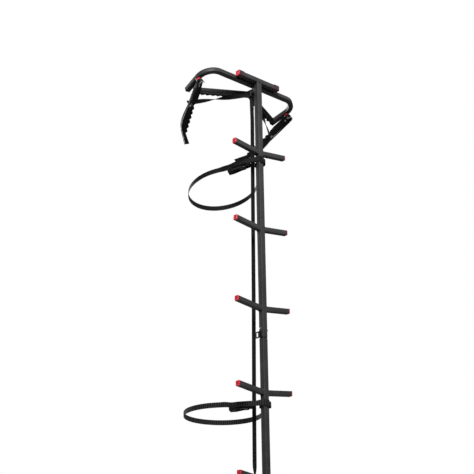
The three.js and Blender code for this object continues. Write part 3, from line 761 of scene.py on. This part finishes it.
# ---- Webbing ----
def densify(stations, spacing):
    """Stations of a strap at an even spacing: centre, width direction, face direction and run."""
    lengths = [0.0]
    for before, after in zip(stations, stations[1:]):
        lengths.append(lengths[-1] + (after[0] - before[0]).length)
    count = max(2, round(lengths[-1] / spacing))
    result = []
    index = 0
    for i in range(count + 1):
        target = lengths[-1] * i / count
        while index < len(lengths) - 2 and lengths[index + 1] < target:
            index += 1
        share = (target - lengths[index]) / max(lengths[index + 1] - lengths[index], 1e-9)
        near, far = stations[index], stations[index + 1]
        centre, side, face = (before.lerp(after, share) for before, after in zip(near, far))
        result.append((centre, side.normalized(), face.normalized(), target))
    return result


def heading_at(line, i):
    """The direction of a line at one of its points."""
    return (line[min(i + 1, len(line) - 1)] - line[max(i - 1, 0)]).normalized()


def web_piece(name, stations, body, replaced=(), spacing=3.4, rib=0.1, pitch=14.0, width=25.0,
              thick=WEB_THICK):
    """Webbing along stations, with rolled selvedges, lengthwise cords and cross ribs in its surface; the
    ribs' tops are marked for a painted highlight.
    """
    columns = 13
    cord = 0.07  # every second column stands this much higher
    sunk = 0.08
    shares = [2 * k / (columns - 1) - 1 for k in range(columns)]
    lateral = [share * width / 2 for share in shares]
    rows = []
    runs = []
    overs = []
    rib_highlight_shares = []
    for centre, side, face, run in densify(stations, spacing):
        swell = rib * (0.5 + 0.5 * math.cos(2 * math.pi * run / pitch))
        top = []
        bottom = []
        for k, (share, across) in enumerate(zip(shares, lateral)):
            selvedge = 1 - 0.45 * max(0.0, abs(share) - 0.8) / 0.2
            half = (thick / 2 - sunk + swell + (cord if k % 2 else 0.0)) * selvedge
            top.append(at(*(centre + side * across + face * half)))
            bottom.append(at(*(centre + side * across - face * half)))
        rows.append(top + bottom[::-1])
        runs += [run] * (2 * columns)
        overs += lateral + lateral[::-1]
        # painted highlight: how strongly each rib top is mixed towards the lighter tone
        rib_highlight_shares += [(swell / DEEPEST_RIB) ** 5] * (2 * columns)
    mesh = skin_mesh(name, rows)
    set_values(mesh, "run", "POINT", runs)
    set_values(mesh, "across", "POINT", overs)
    set_values(mesh, "rib_highlight", "POINT", rib_highlight_shares)
    return finish_piece(name, mesh, body, "webbing", replaced, 60)


def stitch_piece(name, centre, along, side, face, length, width):
    """A box of sewn thread with a cross in it: rows of short raised stitches on the webbing."""
    shape = bmesh.new()
    corners = [Vector((u * length / 2, v * width / 2)) for u, v in ((-1, -1), (1, -1), (1, 1), (-1, 1))]
    for first, last in ((0, 1), (1, 2), (2, 3), (3, 0), (0, 2), (1, 3)):
        start, end = corners[first], corners[last]
        count = max(2, round((end - start).length / 3.2))
        heading = (end - start).normalized()
        beside = Vector((-heading.y, heading.x))
        for i in range(count):
            middle = start.lerp(end, (i + 0.5) / count)
            rows = []
            for share, rise in ((-1.0, 0.0), (-0.6, 0.32), (0.0, 0.42), (0.6, 0.32), (1.0, 0.0)):
                spot = middle + heading * share * 1.15
                ring = []
                for u, v in ((-0.35, -0.25), (0.35, -0.25), (0.35, rise), (-0.35, rise)):
                    flat = spot + beside * u
                    ring.append(at(*(centre + along * flat.x + side * flat.y + face * v)))
                rows.append(ring)
            add_skin(shape, rows)
    mesh = mesh_of(shape, name)
    for label in ("run", "across"):
        set_values(mesh, label, "POINT", [0.6 * v.index for v in mesh.vertices])
    finish_piece(name, mesh, "root", "stitching", (), 60)


def arc_points(centre, radius, start, end, count):
    """Points of an arc in plan, from one angle to another in degrees."""
    points = []
    for i in range(count + 1):
        angle = math.radians(start + (end - start) * i / count)
        x, y = centre[0] + radius * math.cos(angle), centre[1] + radius * math.sin(angle)
        points.append(Vector((x, y)))
    return points


class StrapSpan:
    """The left free span of a tree strap: it runs from the post to the trunk and carries the ratchet."""

    def __init__(self, spec):
        self.spec = spec
        self.half = POST["size"] / 2 + 0.6
        self.start = Vector((-self.half, 0))
        radius, centre = spec["radius"], spec["centre"]
        self.lean = math.acos(radius / math.hypot(self.half, centre)) + math.atan2(self.half, centre)
        touch = Vector((-radius * math.sin(self.lean), centre - radius * math.cos(self.lean)))
        self.length = (touch - self.start).length
        self.along = (touch - self.start).normalized()
        self.outward = Vector((-self.along.y, self.along.x))
        self.anchor = RATCHET["from_post"] + RATCHET["length"] - 3
        self.spool_side = RATCHET["from_post"] - RATCHET["roll"] - 2

    def plan(self, reach, proud):
        """A point in plan: how far along the span, and how far off it."""
        return self.start + self.along * reach + self.outward * proud

    def raised(self, spot, lateral):
        """A point of the strap in the stand's frame, with the ratchet's droop twisted in."""
        offset = spot - self.start
        reach = offset.dot(self.along)
        proud = offset.dot(self.outward)
        x, y, z = spot.x, spot.y, lateral
        if reach > 0 and abs(proud) < 30:
            rising = smooth_share(reach, 0, self.spool_side)
            falling = 1 - smooth_share(reach, self.anchor, self.anchor + TWIST)
            turn = math.radians(self.spec["droop"]) * rising * falling
            turned = proud * math.cos(turn) + lateral * math.sin(turn) - proud
            x += self.outward.x * turned
            y += self.outward.y * turned
            z = lateral * math.cos(turn) - proud * math.sin(turn)
        return Vector((x, y, z + self.spec["height"] + self.spec["slope"] * y))

    def stations(self, line):
        """Strap stations along a plan line."""
        result = []
        for i, spot in enumerate(line):
            heading = heading_at(line, i)
            normal = Vector((-heading.y, heading.x))
            centre = self.raised(spot, 0)
            side = self.raised(spot, 1) - centre
            face = self.raised(spot + normal, 0) - centre
            result.append((centre, side, face))
        return result

    def ratchet_place(self):
        """The ratchet's frame: X along the strap, Y outwards and drooping, Z along the spool."""
        spot = self.plan(RATCHET["from_post"], 0)
        slope = self.spec["slope"]
        axis_x = Vector((self.along.x, self.along.y, slope * self.along.y)).normalized()
        axis_y = Vector((self.outward.x, self.outward.y, 0))
        axis_y = Matrix.Rotation(-math.radians(self.spec["droop"]), 3, axis_x) @ axis_y
        axis_z = axis_x.cross(axis_y)
        origin = Vector((spot.x, spot.y, self.spec["height"] + slope * spot.y))
        return basis_matrix(axis_x, axis_y, axis_z, origin)


def basis_matrix(axis_x, axis_y, axis_z, origin):
    rows = [(axis_x[i], axis_y[i], axis_z[i], origin[i]) for i in range(3)]
    return Matrix((*rows, (0, 0, 0, 1)))


def tail_line(span):
    """The tail in plan, and how many of its points lie on the post."""
    half = span.half + 2.6
    loose = 7.0
    corner = 5.0
    line = arc_points((-half + corner + 1, half - 1), corner, 180, 90, 5)
    line += arc_points((half + loose - corner, half - 1), corner, 90, 0, 5)
    line += arc_points((half + loose - corner, -half + corner - 1), corner, 0, -90, 6)
    line += arc_points((-half + corner, -half + corner), corner, -90, -150, 5)
    front = len(line)
    leave = line[-1]
    end = span.plan(span.spec["tail_end"], 2.9)
    over = span.plan(RATCHET["from_post"] + 4, 28.5)
    after = span.plan(RATCHET["from_post"] + 62, 27.5)
    steps = 39
    reached, passed = 0.25, 0.55  # the shares of the way at which the tail meets and leaves the ratchet
    for i in range(1, steps + 1):
        t = i / steps
        if t < reached:
            spot = leave.lerp(over, smooth_share(t, 0, reached) * 0.4 + t / reached * 0.6)
        elif t < passed:
            spot = over.lerp(after, (t - reached) / (passed - reached))
        else:
            share = (t - passed) / (1 - passed)
            spot = after.lerp(end, smooth_share(t, passed, 1.0) * 0.35 + share * 0.65)
        line.append(spot)
    return line, front


def make_tail(label, span):
    """The spare webbing: a loose turn round the post, then over the ratchet to where it is tucked in."""
    spec = span.spec
    line, front = tail_line(span)
    last = len(line) - 1
    stations = []
    for i, spot in enumerate(line):
        heading = heading_at(line, i)
        sag = spec["turn_drop"] * (1 - smooth_share(i, front - 12, front))
        tucked = smooth_share(i, last - 13, last)
        drop = spec["tail_drop"] * smooth_share(i, front - 6, front + 8) * (1 - tucked)
        height = spec["height"] + spec["slope"] * spot.y - drop - sag
        centre = Vector((spot.x, spot.y, height))
        stations.append((centre, Vector((0, 0, 1)), Vector((-heading.y, heading.x, 0))))
    web_piece(f"tree_strap_{label}_tail", stations, "root", (), RIB_SPACING, spec["rib"], RIB_PITCH)


def strap_line(span, anchor):
    """A tree strap in plan: its loop at the anchor, round the trunk, round the post, to the spool."""
    middle = WEB_THICK / 2
    sewn = ((62, 2.75), (46, 2.75), (30, 2.75), (18, 3.0), (10, 5.4))
    loop = [span.plan(anchor + reach, proud) for reach, proud in sewn]
    loop_radius = 4.95
    for degrees in range(60, 301, 20):
        angle = math.radians(degrees)
        reach = anchor + loop_radius * math.cos(angle)
        loop.append(span.plan(reach, ANCHOR_PROUD + loop_radius * math.sin(angle)))
    loop += [span.plan(anchor + 10, 0.5), span.plan(anchor + 18, middle)]
    far = [span.plan(reach, middle) for reach in range(int(anchor + 30), int(span.length), 12)]
    lean = math.degrees(span.lean)
    trunk_centre = (0, span.spec["centre"])
    trunk = arc_points(trunk_centre, span.spec["radius"] + middle, 270 - lean, lean - 90, 90)
    half = span.half + middle
    corner = 3.4
    inner = half - corner
    right = arc_points((inner, -inner), corner, 0, -90, 6)
    left = arc_points((-inner, -inner), corner, -90, -180, 6)
    post = [Vector((half, 0)), *right, *left, Vector((-half, -1.5))]
    near = [span.plan(reach, middle) for reach in (*range(2, 45, 6), RATCHET["from_post"])]
    return loop + far + trunk + post + near


def make_tree_strap(label, spec):
    """A tree strap with its tail and stitching; gives back its ratchet's frame."""
    span = StrapSpan(spec)
    anchor = RATCHET["from_post"] + RATCHET["length"] - ANCHOR_INSET
    node = f"tree_strap_{label}"
    stations = span.stations(strap_line(span, anchor))
    web_piece(f"{node}_webbing", stations, "root", (node,), RIB_SPACING, spec["rib"], RIB_PITCH)
    make_tail(label, span)
    seam = [span.plan(anchor + reach, proud) for reach, proud in ((41, 3.75), (42, 3.9), (43, 3.75))]
    centre, side, face = span.stations(seam)[1]
    heading = side.cross(face).normalized()
    centre = centre - face * 0.1
    stitch_piece(f"{node}_stitches", centre, heading, side.normalized(), face.normalized(), 26, 17)
    return span.ratchet_place()


# ---- Ratchets ----
def local_rows(rows, place):
    """Rows of points of a ratchet's frame, brought into the part's frame."""
    return [[at(*(place @ point)) for point in row] for row in rows]


def local_lathe(profile, place, centre, sides=24):
    """A body of revolution about the ratchet's spool direction, through a point of its frame."""
    return local_rows([circle(radius, sides, height, centre) for radius, height in profile], place)


def gear_outline():
    """A ratchet wheel: teeth with one steep side and one long one."""
    outer = GEAR["radius"]
    root = outer - GEAR["tooth"]
    count = 12
    points = []
    for i in range(count):
        for share, radius in ((0.0, root), (0.12, outer), (0.26, outer), (0.8, root)):
            angle = 2 * math.pi * (i + share) / count
            points.append((radius * math.cos(angle), radius * math.sin(angle)))
    return points


def make_spool(name, place):
    """The two ratchet wheels, the slotted axle, the webbing wound on it and its end washers."""
    body = f"{name}_spool"
    spool = RATCHET["spool"]
    plate = RATCHET["plate"]
    gear_from = RATCHET["inner"] + plate + 0.4
    outside = gear_from + GEAR["thick"] + 1 + plate  # of the handle's plates
    reach = outside + 2
    shape = bmesh.new()
    thick, chamfer = GEAR["thick"], GEAR["chamfer"]
    for side in (-1, 1):
        rows = []
        for depth, shrink in ((0, chamfer), (chamfer, 0), (thick - chamfer, 0), (thick, chamfer)):
            size = 1 - shrink / GEAR["radius"]
            height = side * (gear_from + depth)
            rows.append([Vector((x * size, spool + y * size, height)) for x, y in gear_outline()])
        add_skin(shape, local_rows(rows, place))
    for side in (-1, 1):
        rows = []
        for height, radius in ((-reach, 5.0), (-reach + 0.5, 5.5), (reach - 0.5, 5.5), (reach, 5.0)):
            half = arc_points((0, 0), radius, 14, 166, 12)
            rows.append([Vector((spot.x, spool + side * spot.y, height)) for spot in half])
        add_skin(shape, local_rows(rows, place))
    bare_piece(f"{body}_shape", shape, body, "dark_zinc", (body,))
    turn = place.to_3x3()
    stations = []
    step = 12  # degrees; each whole turn lies 1 mm further in
    for i in range(90):
        angle = math.radians(-90 - i * step)
        radius = 8.1 - i * step / 360
        out = Vector((math.cos(angle), math.sin(angle), 0))
        centre = place @ Vector((radius * out.x, spool + radius * out.y, 0))
        stations.append((centre, (turn @ Vector((0, 0, 1))).normalized(), (turn @ out).normalized()))
    web_piece(f"{name}_wound_webbing", stations, body, spacing=1.6, thick=0.95, rib=0.0)
    for label, side in ENDS:
        start = side * (outside + 0.15)
        end = start + side
        profile = [(5.7, start), (8.2, start), (8.5, (start + end) / 2), (8.2, end), (5.7, end)]
        rows = local_lathe(profile, place, (0, spool))
        skin_piece(f"{name}_axle_washer_{label}", rows, body, "dark_zinc")


def make_grip_ribs(name, place):
    shape = bmesh.new()
    for x in (78, 82.5, 87, 91.5, 96):
        rows = []
        for z, size in ((-19, 0.2), (-18, 1.0), (18, 1.0), (19, 0.2)):
            section = ((-1.1, -0.6), (1.1, -0.6), (0.75, 0.75), (-0.75, 0.75))
            rows.append([Vector((x + u * size, 33 + v * size, z)) for u, v in section])
        add_skin(shape, local_rows(rows, place))
    bare_piece(f"{name}_grip_ribs", shape, f"{name}_handle", "ratchet_steel")


def make_rivets(name, place):
    for label, side in ENDS:
        face = side * (RATCHET["inner"] + RATCHET["plate"])
        dome = ((2.0, -0.6), (4.4, -0.2), (4.2, 0.8), (3.0, 1.5), (1.2, 1.8))
        profile = [(radius, face + side * rise) for radius, rise in dome]
        centre = (RATCHET["length"] - ANCHOR_INSET, ANCHOR_PROUD)
        rows = local_lathe(profile, place, centre, 20)
        skin_piece(f"{name}_anchor_rivet_{label}", rows, "root", "dark_zinc", (), 60)


def make_pawl_spring(name, place):
    """A coil spring from the handle to the pawl."""
    per_turn = 10
    count = SPRING["turns"] * per_turn
    coil = []
    for i in range(count + 1):
        angle = 2 * math.pi * i / per_turn
        x = SPRING["start"] + (SPRING["end"] - SPRING["start"]) * i / count
        out = Vector((0, math.cos(angle), math.sin(angle)))
        centre = Vector((x, SPRING["height"], 0)) + out * SPRING["radius"]
        wire = circle(SPRING["wire"], 6)
        coil.append([centre + out * spot.x + Vector((spot.y, 0, 0)) for spot in wire])
    mesh = skin_mesh(f"{name}_pawl_spring", local_rows(coil, place))
    set_edges(mesh)
    mesh.materials.append(MATERIALS["zinc_hardware"])
    mesh.shade_smooth()
    spring = place_object(f"{name}_pawl_spring", mesh)
    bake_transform(spring)


def make_ratchet(name, place):
    refine(f"{name}_frame", 0.45)
    refine(f"{name}_handle", 0.55)
    refine(f"{name}_pawl", 0.4)
    make_spool(name, place)
    make_grip_ribs(name, place)
    make_rivets(name, place)
    make_pawl_spring(name, place)


def make_straps():
    make_ratchet("upper_ratchet", make_tree_strap("upper", UPPER_STRAP))
    make_ratchet("lower_ratchet", make_tree_strap("lower", LOWER_STRAP))
    origin = (0, TENSIONER["y"], TENSIONER["z"])
    make_ratchet("tensioner", basis_matrix((0, 0, -1), (-1, 0, 0), (0, 1, 0), origin))


# ---- Pull strap and link straps ----
# The pull strap's way down behind the post: how far towards the tree, and the height.
PULL_ROUTE = [(50, 1553.7), (46.5, 1423), (62, 468), (72, 0), (77, -320), (76, -430), (76, -470)]


def pull_station(height):
    """A station of the pull strap; just above the tensioner it makes a quarter turn."""
    index = next(i for i in range(1, len(PULL_ROUTE)) if PULL_ROUTE[i][1] <= height + 1e-6)
    (y_above, z_above), (y_below, z_below) = PULL_ROUTE[index - 1], PULL_ROUTE[index]
    share = (z_above - height) / (z_above - z_below)
    turn = (1 - smooth_share(height - TENSIONER["z"], 40, 150)) * math.pi / 2
    centre = Vector((0, y_above + (y_below - y_above) * share, height))
    across = Vector((math.cos(turn), math.sin(turn), 0))
    return centre, across, Vector((-math.sin(turn), math.cos(turn), 0))


def make_pull_strap():
    top, bottom = PULL_ROUTE[0][1], PULL_ROUTE[-1][1]
    stations = [pull_station(top + (bottom - top) * i / 160) for i in range(161)]
    web_piece("pull_strap_webbing", stations, "root", ("pull_strap",), spacing=4.5)
    fold = []
    for height in (1553, 1530, 1510, 1492, 1484):
        centre, side, face = pull_station(height)
        fold.append((centre - face * (WEB_THICK - 0.1), side, face))
    web_piece("pull_strap_fold", fold, "root")
    centre, side, face = pull_station(1512)
    centre = centre - face * 2.75
    stitch_piece("pull_strap_stitches", centre, Vector((0, 0, 1)), side, -face, 34, 17)


def make_link_strap(label, mirror):
    """A strap from the yoke to a jaw with half a twist in it, and its eye round the jaw's strap bolt."""
    yoke_eye = Vector((YOKE["half"] + 2.2, YOKE["y"], YOKE["bottom"] + 8))
    bolt = (JAW["x"] - JAW["strap_in"], JAW["strap_down"])
    eye_end = (-9.2, -5)  # where the eye closes, from the bolt
    jaw_eye = jaw_point(bolt[0] + eye_end[0], bolt[1] + eye_end[1], STRAP_EYE_RISE)
    line = jaw_eye - yoke_eye
    along = line.normalized()
    side = Vector((0, 0, 1)).cross(along).normalized()
    up = along.cross(side)
    flip = Matrix.Scale(mirror, 3, Vector((1, 0, 0)))
    steps = 80
    stations = []
    for i in range(steps + 1):
        turn = math.pi * smooth_share(i / steps, 0.05, 0.95)
        width = up * math.cos(turn) - side * math.sin(turn)
        face = side * math.cos(turn) + up * math.sin(turn)
        stations.append((flip @ (yoke_eye + line * (i / steps)), flip @ width, flip @ face))
    body = f"jaw_{label}"
    node = f"link_strap_{label}"
    strap = web_piece(f"{node}_webbing", stations, "root", (node,), spacing=3.0)
    strap.parent = None
    del strap["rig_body"]
    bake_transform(strap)
    opening = 62
    heading = math.degrees(math.atan2(eye_end[1], eye_end[0]))
    ring = arc_points((0, 0), 5.3, heading + opening, heading + 360 - opening, 18)
    eye = [(-13.5, -7.4), (-9.2, -5.2), *ring, (-9.4, -4.9), (-13.7, -7.1)]
    centre_line = [jaw_point(bolt[0] + x, bolt[1] + y, STRAP_EYE_RISE) for x, y in eye]
    loop = []
    for i, spot in enumerate(centre_line):
        ahead = heading_at(centre_line, i)
        loop.append((flip @ spot, flip @ JAW_AXIS, flip @ ahead.cross(JAW_AXIS).normalized()))
    web_piece(f"{node}_eye", loop, body, spacing=1.5, width=22)


# ---- Floor ----
def make_floor():
    """A plain pale floor under the stand."""
    shape = bmesh.new()
    bmesh.ops.create_grid(shape, x_segments=1, y_segments=1, size=2.7)
    mesh = mesh_of(shape, "floor")
    floor = place_object("floor", mesh)
    floor.location.z = -3.3
    finish, tree, shader = start_material("pale_floor", 0.8, 0.0, 0.2)
    clouds = noise_of(tree, object_place(tree), 0.6, 3)
    tone = mix_colours(tree, clouds, (0.5, 0.5, 0.495), (0.56, 0.56, 0.555))
    tree.links.new(tone, shader.inputs["Base Color"])
    mesh.materials.append(finish)


make_camera()
make_light()
make_floor()
make_tubes()
make_step_caps()
make_sleeves()
make_plates()
make_joint_hardware()
make_straps()
make_pull_strap()
make_link_strap("right", 1)
make_link_strap("left", -1)
